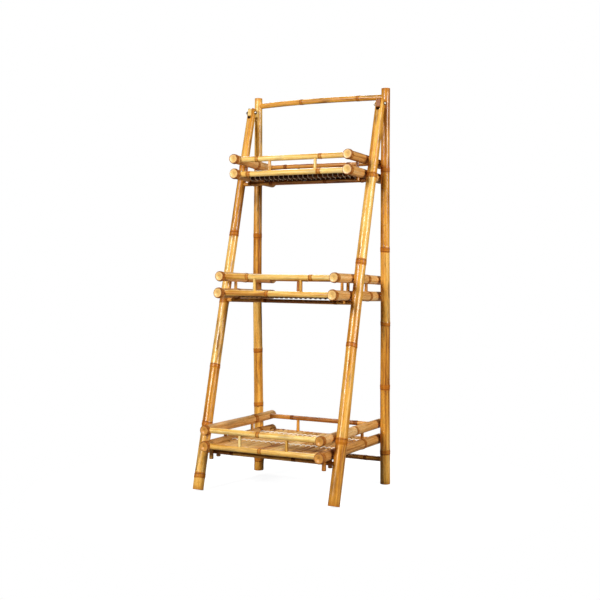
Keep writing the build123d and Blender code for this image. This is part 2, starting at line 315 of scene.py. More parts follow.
def end_material(name, light, dark):
    """Sanded end grain: dark fibre dots that crowd towards the rim."""
    mat = Shader(name)
    grain = mat.attribute("grain", "Vector")
    dots = mat.node("TexVoronoi", {"Vector": grain, "Scale": 900.0}, "Distance")
    spots = mat.ramp(dots, (0.12, 1.0), (0.42, 0.0))
    blotch = mat.noise(grain, (160.0, 160.0, 160.0), 3.0, 0.6)
    rim = mat.attribute("rim")
    colour = mat.mix(blotch, light, mat.mix(0.45, light, dark))
    near_rim = mat.scaled(rim, 0.55, 0.15)
    colour = mat.mix(mat.times(spots, near_rim), colour, dark)
    worn = mat.scaled(blotch, 0.12, rim)
    colour = mat.mix(mat.ramp(worn, (0.90, 0.0), (1.0, 0.92)), colour, (98, 50, 14))
    saw = mat.noise(grain, (1600.0, 60.0, 60.0), 2.0, 0.5)
    normal = mat.bump(mat.math("ADD", saw, spots), 0.3, 0.2 * MM)
    return mat.finish(Base_Color=colour, Roughness=0.5, Normal=normal, Coat_Weight=0.25,
                      Coat_Roughness=0.25)


def cord_material(name, clean, dusty, lay_shade):
    """Waxed two-tone twine, with painted shade in the lay between its strands."""
    mat = Shader(name)
    grain = mat.attribute("grain", "Vector")
    lay = mat.attribute("lay")
    fuzz = mat.noise(grain, (2500.0, 2500.0, 700.0), 3.0, 0.7)
    wear = mat.noise(grain, (40.0, 40.0, 40.0), 2.0, 0.5)
    colour = mat.mix(wear, clean, dusty)
    # painted shade in the grooves of the lay
    colour = mat.mix(mat.ramp(lay, (0.0, 0.75), (0.5, 0.0)), colour, lay_shade)
    colour = mat.mix(mat.times(fuzz, 0.3), colour, dusty)
    normal = mat.bump(fuzz, 0.5, 0.15 * MM)
    return mat.finish(Base_Color=colour, Roughness=0.75, Normal=normal, Sheen_Weight=0.3)


def tongue_material(name, light, dark, line):
    """Sawn wood with straight grain along the tongue."""
    mat = Shader(name)
    place = mat.node("TexCoord", (), "Object")
    rays = mat.noise(place, (500.0, 30.0, 420.0), 4.0, 0.6)
    growth = mat.noise(place, (90.0, 9.0, 120.0), 3.0, 0.5)
    colour = mat.ramp(growth, (0.32, dark), (0.66, light))
    colour = mat.mix(mat.times(rays, 0.35), colour, line)
    normal = mat.bump(rays, 0.4, 0.2 * MM)
    return mat.finish(Base_Color=colour, Roughness=0.55, Normal=normal, Coat_Weight=0.08,
                      Specular_IOR_Level=0.3, Coat_Roughness=0.3)


def steel_material():
    """Dull zinc plate, turned marks and a little tarnish."""
    mat = Shader("zinc_steel")
    place = mat.node("TexCoord", (), "Object")
    marks = mat.noise(place, (200.0, 2600.0, 2600.0), 3.0, 0.6)
    tarnish = mat.noise(place, (300.0, 300.0, 300.0), 4.0, 0.6)
    colour = mat.ramp(tarnish, (0.42, (198, 192, 180)), (0.70, (118, 100, 78)))
    gloss = mat.scaled(tarnish, 0.35, 0.16)
    normal = mat.bump(marks, 0.25, 0.08 * MM)
    return mat.finish(Base_Color=colour, Metallic=1.0, Roughness=gloss, Normal=normal)


# from palest to darkest, then the rings; roughness, coat, specks, smoke
HONEY = bamboo_material("bamboo_honey", (
    (250, 206, 116), (234, 172, 70), (208, 138, 40), (140, 78, 10), (170, 92, 18)),
    0.36, 0.45, 0.40, 0.85)
PALE = bamboo_material("bamboo_pale", (
    (255, 234, 164), (250, 208, 116), (232, 176, 76), (176, 110, 28), (182, 104, 26)),
    0.34, 0.45, 0.30, 0.6)
SAND = bamboo_material("bamboo_sand", (
    (246, 204, 144), (232, 178, 108), (210, 148, 74), (150, 92, 34), (152, 80, 16)),
    0.46, 0.2, 0.60, 0.5)
BROWN = bamboo_material("bamboo_brown", (
    (234, 176, 84), (206, 138, 50), (166, 98, 26), (96, 50, 8), (110, 50, 6)),
    0.36, 0.35, 0.3, 0.7)
# A darker copy of the bamboo for the cross sticks under the decks: painted shade.
SHADED_STICK_BAMBOO = bamboo_material("bamboo_painted_shade", (
    (150, 96, 42), (118, 70, 26), (88, 48, 16), (54, 28, 8), (60, 28, 6)),
    0.5, 0.1, 0.3, 0.7)
SLAT = bamboo_material("bamboo_slat", (
    (250, 214, 150), (238, 190, 112), (212, 150, 74), (150, 92, 42), (116, 62, 20)),
    0.42, 0.25, 0.4, 0.35)
END = end_material("bamboo_end", (248, 204, 122), (184, 112, 36))
END_BROWN = end_material("bamboo_end_brown", (226, 158, 64), (152, 84, 18))
# The split faces: darker than bare inner bamboo, which is pale tan, so partly painted shade for the
# undersides of the slats and the inside of the leg slots.
HOLLOW = bamboo_material("split_face", (
    (176, 120, 66), (142, 90, 44), (104, 62, 26), (64, 34, 12), (70, 36, 10)),
    0.7, 0.0, 0.3, 0.5)
WHITE_TWINE = cord_material("twine_white", (255, 252, 242), (240, 228, 204), (150, 122, 86))
TAN_TWINE = cord_material("twine_tan", (206, 164, 112), (176, 128, 76), (104, 64, 28))
TONGUES = {
    "left": tongue_material("tongue_pale", (252, 224, 150), (236, 190, 104), (160, 104, 40)),
    "right": tongue_material("tongue_brown", (172, 100, 34), (138, 74, 20), (84, 40, 8)),
}
STEEL = steel_material()


# ---- pole geometry ----

def bell(distance, width):
    return np.exp(-(distance / width) ** 2)


def once_round(sides):
    return np.linspace(0, 2 * np.pi, sides, endpoint=False)


def turned_off(angle, middle):
    """How far round an angle is from another, either way."""
    return np.abs((angle - middle + np.pi) % (2 * np.pi) - np.pi)


def tube_quads(rows, sides):
    """Quads between rows of points that go once round."""
    quads = []
    for row in range(rows - 1):
        for k in range(sides):
            a, b = row * sides + k, row * sides + (k + 1) % sides
            quads.append((a, b, b + sides, a + sides))
    return quads


def steps(length, rings, fine):
    """Places along a pole: close together at the ends and round each node ring."""
    spacing = max(length / 40, 6 * MM)
    places = list(np.linspace(0, length, max(int(length / spacing), 6)))
    for ring in rings:
        places += list(ring + np.linspace(-13, 13, fine) * MM)
        places += list(ring + np.linspace(-5, 5, fine) * MM)
    places = sorted(p for p in places if 2 * MM < p < length - 2 * MM)
    kept = [places[0]]
    for place in places[1:]:
        if place - kept[-1] > 0.35 * MM:
            kept.append(place)
    return kept


def node_profile(s, rings, radius):
    """Extra radius at s: each node swells gently, with a sharp sheath ridge on one side
    of its middle and a soft crest on the other."""
    size = radius / TYPICAL_R
    extra = np.zeros_like(s)
    for ring in rings:
        d = (s - ring) / MM / size ** 0.5
        extra += 0.60 * bell(d, 11.0)
        extra += 0.55 * bell(d - 3.6, 3.2)
        extra += 0.55 / (1 + np.exp(-(d + 5.4) / 0.35)) * np.exp(-np.clip(d + 5.0, 0, None) / 1.8)
        extra -= 0.18 * bell(d + 7.2, 1.5)
    return extra * size * MM


def kinked(s, length, rings, offsets):
    """A line through the offsets at the rings, nothing at the ends, its bends rounded."""
    places = [0, *rings, length]
    heights = [0, *offsets, 0]
    spread = np.linspace(-22, 22, 9) * MM
    near = np.interp(s[:, None] + spread, places, heights).mean(1)
    return near * np.clip(np.minimum(s, length - s) / (30 * MM), 0, 1)


def waver(rng, s, length, rings, amount):
    """Bamboo runs straight from node to node and turns a little at each."""
    total = np.zeros((len(s), 2))
    for axis in range(2):
        offsets = rng.uniform(-1, 1, len(rings)) * amount
        total[:, axis] = kinked(s, length, rings, offsets)
        total[:, axis] += 0.25 * amount * np.sin(np.pi * s / length) * rng.uniform(-1, 1)
    return total


def pole_surface(length, r_start, r_end, rings, seed, sides=36, bend=0.8 * MM, fine=11,
                 edge=0.9 * MM, pith=1.1 * MM, collar=0.0, knots=()):
    """Vertices, quads and surface values of a turned bamboo pole along +Z. A collar
    swells behind the first end; knots are (place, angle, size, darkness)."""
    rng = np.random.default_rng(seed)
    rings = [ring * length for ring in rings]
    walls = steps(length, rings + [knot[0] * length for knot in knots], fine)
    tip = [1.6 * MM, 1.4 * MM, 0, 0, 0, edge * 0.3, edge]
    tips = [[0, pith * 0.8, pith, rim - 1.6 * edge, rim - edge, rim - edge * 0.3, rim]
            for rim in (r_start, r_end)]
    s = np.array([*tip, *walls, *[length - place for place in tip[::-1]]])
    skin = [r_start + (r_end - r_start) * place / length for place in walls]
    r = np.array([*tips[0], *skin, *tips[1][::-1]])
    cap = 5             # rows from the pith to the sawn edge
    side = np.zeros(len(s), bool)
    side[cap:-cap] = True
    full = r_start + (r_end - r_start) * s / length
    lump = node_profile(s, rings, full) + collar * bell(s - COLLAR_AT, 5 * MM)
    r = r + np.where(side, lump, 0)

    angle = once_round(sides)
    oval = 0.012 * np.cos(2 * (angle + rng.uniform(0, 6)))
    oval = oval + 0.006 * np.cos(3 * (angle + rng.uniform(0, 6)))
    flutes = 0.004 * np.cos(7 * angle + 3 * np.sin(s[:, None] / length * 9 + seed))
    radius = r[:, None] * (1 + oval + flutes * side[:, None])

    bud = np.zeros((len(s), sides))
    turn = rng.uniform(0, 2 * np.pi)
    for count, ring in enumerate(rings):
        middle = turn + np.pi * count + rng.uniform(-0.3, 0.3)
        across = turned_off(angle, middle) * full[:, None]
        along = s[:, None] - ring - 6.5 * MM
        bud += np.exp(-(across / (3.4 * MM)) ** 2 - (along / (3.8 * MM)) ** 2)
    radius = radius + bud * 0.7 * MM * side[:, None] * (full / TYPICAL_R)[:, None]
    dark = np.zeros((len(s), sides))
    for place, middle, size, darkness in knots:
        across = turned_off(angle, middle) * full[:, None]
        near = (across ** 2 + (s[:, None] - place * length) ** 2) / size ** 2
        radius = radius + (0.22 * np.exp(-near) - 0.16 * np.exp(-near * 9)) * size * side[:, None]
        dark = np.maximum(dark, darkness * np.exp(-(near * 3.2) ** 2))

    drift = waver(rng, s, length, rings, bend)
    x = radius * np.cos(angle) + drift[:, :1]
    y = radius * np.sin(angle) + drift[:, 1:]
    z = np.repeat(s[:, None], sides, 1)
    for ring in rings:
        lean, ripple = rng.uniform(0, 2 * np.pi, 2)
        tilt = 0.055 * np.cos(angle - lean) + 0.03 * np.cos(2 * angle - ripple)
        near = bell(s - ring, 13 * MM) * side
        z += near[:, None] * tilt * full[:, None] * 1.3
    points = np.stack([x, y, z], -1).reshape(-1, 3)

    flat = np.stack([radius * np.cos(angle), radius * np.sin(angle), z], -1).reshape(-1, 3)
    grain = flat + rng.uniform(-5, 5, 3)
    band_row, scar = np.zeros(len(s)), np.zeros(len(s))
    tone = np.full(len(s), rng.uniform(0.1, 0.9))
    stretch = (r_start / TYPICAL_R) ** 0.5
    for ring in rings:
        d = (s - ring) / MM / stretch
        reach, strength = rng.uniform(8.0, 13.5), rng.uniform(0.75, 1.0)
        shift = rng.uniform(-1.5, 2.5)
        band_row = np.maximum(band_row, strength * np.clip((reach - np.abs(d - shift)) / 3.5, 0, 1))
        scar = np.maximum(scar, 1.1 * bell(d + 5.6, 1.3))
        scar = np.maximum(scar, 0.8 * bell(d - 6.4, 1.3))
        after = 1 / (1 + np.exp(-d / 1.5))
        tone = tone * (1 - after) + rng.uniform(0.1, 0.9) * after
    near = np.exp(-s / (2.2 * MM)) + np.exp(-(length - s) / (2.2 * MM))
    band = np.maximum(band_row, 0.75 * near)[:, None] + 0.5 * bud
    values = {
        "band": np.clip(np.broadcast_to(band, (len(s), sides)), 0, 1.5).reshape(-1),
        "scar": np.maximum(scar[:, None], dark * 1.2).reshape(-1),
        "tone": np.repeat(tone, sides),
        "rim": np.repeat(np.clip(r / np.maximum(full, 1e-6), 0, 1), sides),
    }
    rows = len(s)
    ends = np.repeat([row < cap - 1 or row >= rows - cap for row in range(rows - 1)], sides)
    return points, tube_quads(rows, sides), list(ends), grain, values


def basis(start, end):
    """The frame at start with +Z towards end, and how far it is to end."""
    along = (Vector(end) - Vector(start)).normalized()
    turn = along.to_track_quat("Z", "Y").to_matrix().to_4x4()
    return Matrix.Translation(Vector(start)) @ turn, (Vector(end) - Vector(start)).length


def add_object(name, data):
    made = bpy.data.objects.new(name, data)
    bpy.context.scene.collection.objects.link(made)
    return made


def free_to_mesh(made, name):
    """Turns a bmesh into a new mesh."""
    mesh = bpy.data.meshes.new(name)
    made.to_mesh(mesh)
    made.free()
    return mesh


def place_points(place, points):
    turn = np.array(place.to_3x3())
    return points @ turn.T + np.array(place.translation)


def merge(parts):
    """Joins surfaces (points, quads, ends, grain, values) into one."""
    points, quads, ends, grain, values = [], [], [], [], {}
    count = 0
    for p, q, e, g, v in parts:
        points.append(p)
        quads += [tuple(i + count for i in face) for face in q]
        ends += e
        grain.append(g)
        for key, numbers in v.items():
            values.setdefault(key, []).append(numbers)
        count += len(p)
    values = {key: np.concatenate(numbers) for key, numbers in values.items()}
    return np.concatenate(points), quads, ends, np.concatenate(grain), values


def seed_of(name):
    return sum((place + 1) * ord(letter) for place, letter in enumerate(name)) % 100003


def stand_for(piece, node, body):
    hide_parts(node)
    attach(piece, body)


def build(node, body, materials, parts):
    """The smooth piece that stands for a node, made from surfaces, with their values as
    attributes."""
    points, faces, ends, grain, values = merge(parts)
    mesh = bpy.data.meshes.new(node + "_look")
    mesh.from_pydata([tuple(p) for p in points], [], faces)
    for material in materials:
        mesh.materials.append(material)
    mesh.polygons.foreach_set("material_index", np.array(ends, np.int32))
    layer = mesh.attributes.new("grain", "FLOAT_VECTOR", "POINT")
    layer.data.foreach_set("vector", np.asarray(grain, np.float32).reshape(-1))
    for key, numbers in values.items():
        layer = mesh.attributes.new(key, "FLOAT", "POINT")
        layer.data.foreach_set("value", np.asarray(numbers, np.float32))
    mesh.polygons.foreach_set("use_smooth", [True] * len(mesh.polygons))
    tidy = bmesh.new()
    tidy.from_mesh(mesh)
    bmesh.ops.remove_doubles(tidy, verts=tidy.verts, dist=1e-6)
    bmesh.ops.recalc_face_normals(tidy, faces=tidy.faces)
    tidy.to_mesh(mesh)
    tidy.free()
    piece = add_object(node + "_look", mesh)
    stand_for(piece, node, body)
    return piece


def sticks(node, body, slot, materials, runs, tints=None, **shape):
    """One piece of several sticks, each (start, end, r_start, r_end, rings), their skins
    in the first material or the one that tints names; the last is for sawn ends."""
    parts = []
    for count, (start, end, r_start, r_end, rings) in enumerate(runs):
        place, length = basis(start, end)
        knots = []
        for share, turn, size, darkness in KNOTS.get(node, ()):
            turn = radians(turn)
            facing = place.to_3x3().transposed() @ Vector((sin(turn), -cos(turn), 0))
            knots.append((share, atan2(facing.y, facing.x), size * MM, darkness))
        surface = pole_surface(length, r_start, r_end, rings, seed_of(node) + 31 * count,
                               knots=knots, **shape)
        points = place_points(place, surface[0])
        if node in BOWS:
            offsets = [bow * MM for bow in BOWS[node]]
            points[:, 0] += kinked(surface[0][:, 2], length, [r * length for r in rings], offsets)
        skin = tints[count] if tints else 0
        faces = [len(materials) - 1 if end else skin for end in surface[2]]
        parts.append((points, surface[1], faces, *surface[3:]))
    return build(node, body, materials, parts)


def pole(node, body, material, start, end, r_start, r_end=None, extra=(), sawn=END, **shape):
    """One pole."""
    run = (start, end, r_start, r_end or r_start, sorted([*RINGS[node], *extra]))
    return sticks(node, body, material.name.split(".")[0], [material, sawn], [run], **shape)


# ---- rear frame ----

hinge = Vector(joints["front_frame_fold"]["pos_m"])
post_y = joints["bottom_tray_tilt"]["pos_m"][1]
height = cad_box[1][2]

for side_name, side in SIDES:
    node = "rear_post_" + side_name
    pole(node, "rear_frame", HONEY, (side * POST_X, post_y, 0),
         (side * POST_X, post_y, height), *POST_R[side_name], bend=0.8 * MM, sides=44)

low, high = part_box("rear_stretcher")
level = (low[2] + high[2]) / 2
pole("rear_stretcher", "rear_frame", BROWN, (low[0], post_y, level),
     (high[0], post_y, level), STRETCHER_R, bend=0.6 * MM)


def top_rail():
    """The thin rail between the posts, bowed up, with most of its rise left of the middle."""
    low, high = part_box("top_rail")
    rise = 5.0 * MM
    level = high[2] - TOP_RAIL_R - rise
    length = high[0] - low[0]
    points, *rest = pole_surface(length, TOP_RAIL_R, TOP_RAIL_R, RINGS["top_rail"],
                                 seed_of("top_rail"), bend=0.5 * MM)
    place, _ = basis((low[0], post_y, level), (high[0], post_y, level))
    along = points[:, 2] / length
    points = place_points(place, points)
    points[:, 2] += rise * np.sin(np.pi * np.clip(along, 0, 1) ** 0.8)
    build("top_rail", "rear_frame", [HONEY, END], [(points, *rest)])


top_rail()


# ---- folding hinge ----

def turned(name, outline, sides=28):
    """A solid of revolution round +X from (x, r) points, closed at both ends."""
    made = bmesh.new()
    rings = []
    for x, r in outline:
        if r == 0:
            rings.append([made.verts.new((x, 0, 0))])
        else:
            rings.append([made.verts.new((x, r * cos(t), r * sin(t)))
                          for t in once_round(sides)])
    for one, two in zip(rings, rings[1:]):
        for k in range(sides):
            j = (k + 1) % sides
            corners = [one[k % len(one)], one[j % len(one)], two[j % len(two)], two[k % len(two)]]
            corners = list(dict.fromkeys(corners))
            if len(corners) > 2:
                made.faces.new(corners)
    bmesh.ops.recalc_face_normals(made, faces=made.faces)
    return free_to_mesh(made, name)


def prism(outline, half, axis):
    """An outline drawn out by half to both sides along an axis, as a bmesh."""
    made = bmesh.new()
    loops = []
    for reach in (-half, half):
        corners = [(*corner[:axis], reach, *corner[axis:]) for corner in outline]
        loops.append([made.verts.new(corner) for corner in corners])
    made.faces.new(loops[0])
    made.faces.new(loops[1][::-1])
    for k in range(len(outline)):
        j = (k + 1) % len(outline)
        made.faces.new((loops[0][k], loops[0][j], loops[1][j], loops[1][k]))
    bmesh.ops.recalc_face_normals(made, faces=made.faces)
    return made


def hinge_place(side):
    return Matrix.Translation((side * LEG_X, hinge.y, hinge.z))


def join_meshes(name, meshes, material, smooth=True):
    """Joins (mesh, matrix) pairs into one object."""
    whole = bmesh.new()
    for mesh, matrix in meshes:
        mesh = mesh.copy()
        mesh.transform(matrix)
        whole.from_mesh(mesh)
    mesh = free_to_mesh(whole, name)
    mesh.materials.append(material)
    mesh.polygons.foreach_set("use_smooth", [smooth] * len(mesh.polygons))
    return add_object(name, mesh)


def dome(x, radius, tall):
    """Points of a shallow dome with a rolled rim, from its rim at x to its tip."""
    points = [(x, radius * 0.90), (x + 0.10 * tall, radius), (x + 0.24 * tall, radius)]
    for turn in np.linspace(0.12, 1, 9) * pi / 2:
        points.append((x + tall * (0.24 + 0.76 * sin(turn)), radius * cos(turn)))
    points[-1] = (x + tall, 0)
    return points


def bolt_outline(face):
    """A bolt with a thread at its bare end and a rolled rim round its domed head."""
    tip = -SHANK_REACH
    points = [(tip, 0), (tip, BOLT_R - 0.6 * MM), (tip + 0.6 * MM, BOLT_R)]
    for count, x in enumerate(np.arange(tip + 0.9 * MM, -face + 0.5 * MM, 0.5 * MM)):
        points.append((x, BOLT_R - (0.35 * MM if count % 2 else 0)))
    points.append((face, BOLT_R))
    return points + dome(face, HEAD_R, HEAD_TALL)


def nut_mesh():
    made = bmesh.new()
    corner = NUT_FLATS / sqrt(3)
    bmesh.ops.create_cone(made, cap_ends=True, segments=6, radius1=corner, radius2=corner,
                          depth=NUT_TALL)
    bmesh.ops.bevel(made, geom=made.edges[:], offset=0.35 * MM, segments=2, affect="EDGES")
    return free_to_mesh(made, "nut_shape")


def hinge_hardware():
    """Round-headed bolts with washers and chamfered nuts."""
    bevel = 0.2 * MM
    hole = BOLT_R + 0.1 * MM
    washer = turned("washer_shape", [
        (0, hole), (0, WASHER_R - bevel), (bevel, WASHER_R), (WASHER_THICK - bevel, WASHER_R),
        (WASHER_THICK, WASHER_R - bevel), (WASHER_THICK, hole), (0, hole)])
    nut = nut_mesh()
    bolts, washers, nuts = [], [], []
    for side_name, side in SIDES:
        seat = LEG_R[side_name][0] + GAP
        face = seat + WASHER_THICK
        middle = hinge_place(side)
        bolts.append((turned("bolt_shape", bolt_outline(face)), middle))
        washers.append((washer, middle @ Matrix.Translation((seat, 0, 0))))
        washers.append((washer, middle @ Matrix.Translation((-face, 0, 0))))
        turn = Matrix.Rotation(radians(90), 4, "Y") @ Matrix.Rotation(0.3 * side, 4, "Z")
        nuts.append((nut, middle @ Matrix.Translation((-face - NUT_TALL / 2, 0, 0)) @ turn))
    for name, meshes in (("hinge_bolts", bolts), ("hinge_washers", washers), ("hinge_nuts", nuts)):
        piece = join_meshes(name + "_look", meshes, STEEL, smooth=name != "hinge_nuts")
        stand_for(piece, name, "rear_frame")


def hinge_tongues():
    """Flat tongues with two round front corners and softened edges."""
    for side_name, side in SIDES:
        half = TONGUE_TALL / 2
        length = post_y - hinge.y
        outline = [(length, half)]
        for first, z in ((90, half - TONGUE_CORNER), (180, TONGUE_CORNER - half)):
            for t in np.radians(np.linspace(first, first + 90, 9)):
                outline.append((TONGUE_CORNER * (1 + cos(t)) - TONGUE_REACH,
                                z + TONGUE_CORNER * sin(t)))
        outline.append((length, -half))
        made = prism(outline, TONGUE_THICK[side_name] / 2, 0)
        rims = [e for e in made.edges if abs(e.verts[0].co.x - e.verts[1].co.x) < 1e-6]
        bmesh.ops.bevel(made, geom=rims, offset=0.9 * MM, segments=3, affect="EDGES")
        mesh = free_to_mesh(made, "tongue_shape")
        node = "hinge_tongue_" + side_name
        piece = join_meshes(node + "_look", [(mesh, hinge_place(side))], TONGUES[side_name],
                            smooth=False)
        stand_for(piece, node, "rear_frame")


hinge_hardware()
hinge_tongues()


# ---- front frame ----

def leg_point(side, below_pin):
    return Vector((side * LEG_X, hinge.y - below_pin * sin(LEAN),
                   hinge.z - below_pin * cos(LEAN)))


def cut_fork(leg, side_name, side):
    """Saws the slot for the tongue down from the leg's top, round at its bottom."""
    half = TONGUE_THICK[side_name] / 2 + FORK_PLAY
    tall = 3 * LEG_ABOVE_PIN
    outline = [(half * cos(t), -FORK_BELOW_PIN + half * sin(t))
               for t in np.linspace(pi, 2 * pi, 17)]
    outline += [(half, tall), (-half, tall)]
    mesh = free_to_mesh(prism(outline, 2 * LEG_ABOVE_PIN, 1), "fork_cutter")
    mesh.materials.append(HOLLOW)
    cutter = add_object("fork_cutter", mesh)
    cutter.matrix_world = hinge_place(side) @ Matrix.Rotation(-LEAN, 4, "X")
    whole = leg.data
    skin = {key: np.empty(len(whole.vertices), np.float32)
            for key in ("band", "scar", "tone", "rim")}
    for key, numbers in skin.items():
        whole.attributes[key].data.foreach_get("value", numbers)
    tree = KDTree(len(whole.vertices))
    for vertex in whole.vertices:
        tree.insert(vertex.co, vertex.index)
    tree.balance()
    first = whole.vertices[0].co.copy()
    shift = whole.attributes["grain"].data[0].vector.copy()
    saw = leg.modifiers.new("fork", "BOOLEAN")
    saw.operation = "DIFFERENCE"
    saw.solver = "EXACT"
    saw.material_mode = "TRANSFER"
    saw.object = cutter
    bpy.context.view_layer.update()
    graph = bpy.context.evaluated_depsgraph_get()
    cut = bpy.data.meshes.new_from_object(leg.evaluated_get(graph), depsgraph=graph,
                                          preserve_all_data_layers=True)
    leg.modifiers.clear()
    leg.data = cut
    bpy.data.objects.remove(cutter)
    turn = Matrix.Rotation(LEAN, 3, "X")
    nearest = [tree.find(vertex.co)[1] for vertex in cut.vertices]
    for key, numbers in skin.items():
        cut.attributes[key].data.foreach_set("value", numbers[nearest])
    for vertex, grain in zip(cut.vertices, cut.attributes["grain"].data):
        grain.vector = turn @ (vertex.co - first) + shift


def sharp_ends(piece, angle=35):
    """Keeps sawn edges crisp while round skins stay smooth."""
    with bpy.context.temp_override(object=piece, active_object=piece, selected_objects=[piece],
                                   selected_editable_objects=[piece]):
        bpy.ops.object.shade_smooth_by_angle(angle=radians(angle))


for side_name, side in SIDES:
    node = "front_leg_" + side_name
    foot = (hinge.z - LEG_R[side_name][1] * sin(LEAN)) / cos(LEAN)
    leg = pole(node, "front_frame", HONEY, leg_point(side, -LEG_ABOVE_PIN),
               leg_point(side, foot), *LEG_R[side_name], bend=0.8 * MM, sides=44)
    cut_fork(leg, side_name, side)
    sharp_ends(leg)

for name in TRAYS:
    node = "front_rung_" + name
    low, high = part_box(node)
    y, z = (low[1] + high[1]) / 2, (low[2] + high[2]) / 2
    pole(node, "front_frame", BROWN, (low[0], y, z), (high[0], y, z), RUNG_R, bend=0.4 * MM)


# ---- trays ----

def smooth_path(points, step):
    """A path through the points with a point about every step (Catmull-Rom)."""
    points = np.asarray(points, float)
    padded = np.vstack([2 * points[0] - points[1], points, 2 * points[-1] - points[-2]])
    path = []
    for k in range(len(points) - 1):
        a, b, c, d = padded[k:k + 4]
        count = max(2, int(np.linalg.norm(c - b) / step))
        for t in np.linspace(0, 1, count, endpoint=False):
            path.append(0.5 * (2 * b + (c - a) * t + (2 * a - 5 * b + 4 * c - d) * t ** 2
                               + (3 * b - a - 3 * c + d) * t ** 3))
    path.append(points[-1])
    return np.array(path)


def twine(path, radius, seed, sides=9, lay_length=5.5 * MM):
    """A surface of a three-strand cord along a path, closed at both ends."""
    along = np.gradient(path, axis=0)
    along /= np.linalg.norm(along, axis=1)[:, None]
    run = np.concatenate([[0], np.cumsum(np.linalg.norm(np.diff(path, axis=0), axis=1))])
    across = np.zeros_like(path)
    last = np.cross(along[0], (0.3, 0.2, 0.9))
    for k, direction in enumerate(along):
        last = last - direction * np.dot(last, direction)
        last = last / np.linalg.norm(last)
        across[k] = last
    up = np.cross(along, across)
    angle = once_round(sides)
    lay = 0.5 + 0.5 * np.cos(3 * angle - 2 * np.pi * run[:, None] / lay_length)
    wide = radius * (0.86 + 0.16 * lay)
    ring = across[:, None] * np.cos(angle)[:, None] + up[:, None] * np.sin(angle)[:, None]
    points = (path[:, None] + ring * wide[..., None]).reshape(-1, 3)
    grain = np.stack([radius * np.cos(angle) + 0 * run[:, None],
                      radius * np.sin(angle) + 0 * run[:, None],
                      np.repeat(run[:, None], sides, 1)], -1).reshape(-1, 3)
    quads = tube_quads(len(path), sides)
    quads.append(tuple(range(sides))[::-1])
    last_row = (len(path) - 1) * sides
    quads.append(tuple(last_row + k for k in range(sides)))
    return points, quads, [False] * len(quads), grain + seed, {"lay": lay.reshape(-1)}


def lacing_route(xs, y, stick_z, rng):
    """Up the front of the cross stick, slantwise over a slat, down behind, and under."""
    pitch = xs[1] - xs[0]
    top = SLAT_FLAT + SLAT_R + CORD_R * 0.8
    side = STICK_R + CORD_R * 0.9
    under = stick_z - side
    brink = SLAT_FLAT + SLAT_R * 0.3
    route = [(xs[0] - pitch * 0.5, y + side, stick_z)]
    for x in xs:
        slip = rng.uniform(-0.7, 0.7, 3) * MM
        left, right = x - pitch / 2, x + pitch / 2
        route += [
            (left + 4.6 * MM, y + side * 0.5, under + side * 0.12),
            (left + 4.0 * MM, y - side * 0.5, under + side * 0.10),
            (left + 0.4 * MM, y - side, stick_z - 2.0 * MM),
            (left + slip[1] * 0.3, y - side * 0.9, brink),
            (x - SLAT_R * 0.55, y - side * 0.5 + slip[1], top - SLAT_R * 0.14),
            (x, y + slip[2], top),
            (x + SLAT_R * 0.55, y + side * 0.5 + slip[0], top - SLAT_R * 0.14),
            (right, y + side * 0.9, brink),
            (right + 1.0 * MM, y + side, stick_z + slip[2] * 0.3)]
    x = xs[-1] + pitch * 0.5
    return route + [(x - 0.5 * MM, y, under), (x - 0.5 * MM, y - side, stick_z)]


def slat_surface(length, radius, rings, seed):
    """A half-round slat along +Z, its round side towards +Y and its pith side hollowed."""
    rng = np.random.default_rng(seed)
    edge = 0.7 * MM
    rings = [ring * length for ring in rings]
    s = np.array([0, 0, edge, *steps(length, rings, 5), length - edge, length, length])
    size = np.array([0, 1 - edge / radius, 1, *[1] * (len(s) - 6), 1, 1 - edge / radius, 0])
    crown = np.linspace(0, pi, CROWN)
    hollow = np.linspace(-1, 1, 9)[1:-1]
    x = np.concatenate([radius * np.cos(crown), radius * 0.93 * hollow])
    y = np.concatenate([radius * np.sin(crown), radius * 0.30 * (1 - hollow ** 2)])
    x[0], x[CROWN - 1] = radius * 0.985, -radius * 0.985
    swell = 1 + node_profile(s, rings, np.full(len(s), radius)) / radius * (size > 0.99)
    heart = radius * 0.45
    rows = [np.stack([x * a * b, heart + (y - heart) * a * b, np.full(len(x), place)], -1)
            for place, a, b in zip(s, size, swell)]
    points = np.array(rows)
    drift = waver(rng, s, length, rings, 0.5 * MM)
    sides = len(x)
    grain = points.reshape(-1, 3) + rng.uniform(-5, 5, 3)
    points[:, :, 0] += drift[:, :1]
    points[:, :, 1] += drift[:, 1:] * 0.3
    band, scar = np.zeros(len(s)), np.zeros(len(s))
    for ring in rings:
        d = (s - ring) / MM
        band = np.maximum(band, np.clip((6.0 - np.abs(d)) / 3.0, 0, 1))
        scar = np.maximum(scar, bell(d + 3.5, 0.8))
    k = np.arange(sides)
    # painted shade along each slat's two edges, darkening the gaps between the slats; the band and
    # scar values carry it
    gap_shade = 0.9 * np.exp(-np.minimum(k, np.abs(CROWN - 1 - k)) / 1.6)
    values = {"band": np.maximum(band[:, None], gap_shade).reshape(-1),
              "scar": np.maximum(scar[:, None], gap_shade).reshape(-1),
              "tone": np.full(len(s) * sides, rng.uniform(0.05, 0.95)),
              "rim": np.repeat(size, sides)}
    face = np.tile(np.where(k < CROWN - 1, 0, 2), (len(s) - 1, 1))
    face[[0, -1]] = 1
    return points.reshape(-1, 3), tube_quads(len(s), sides), list(face.flat), grain, values


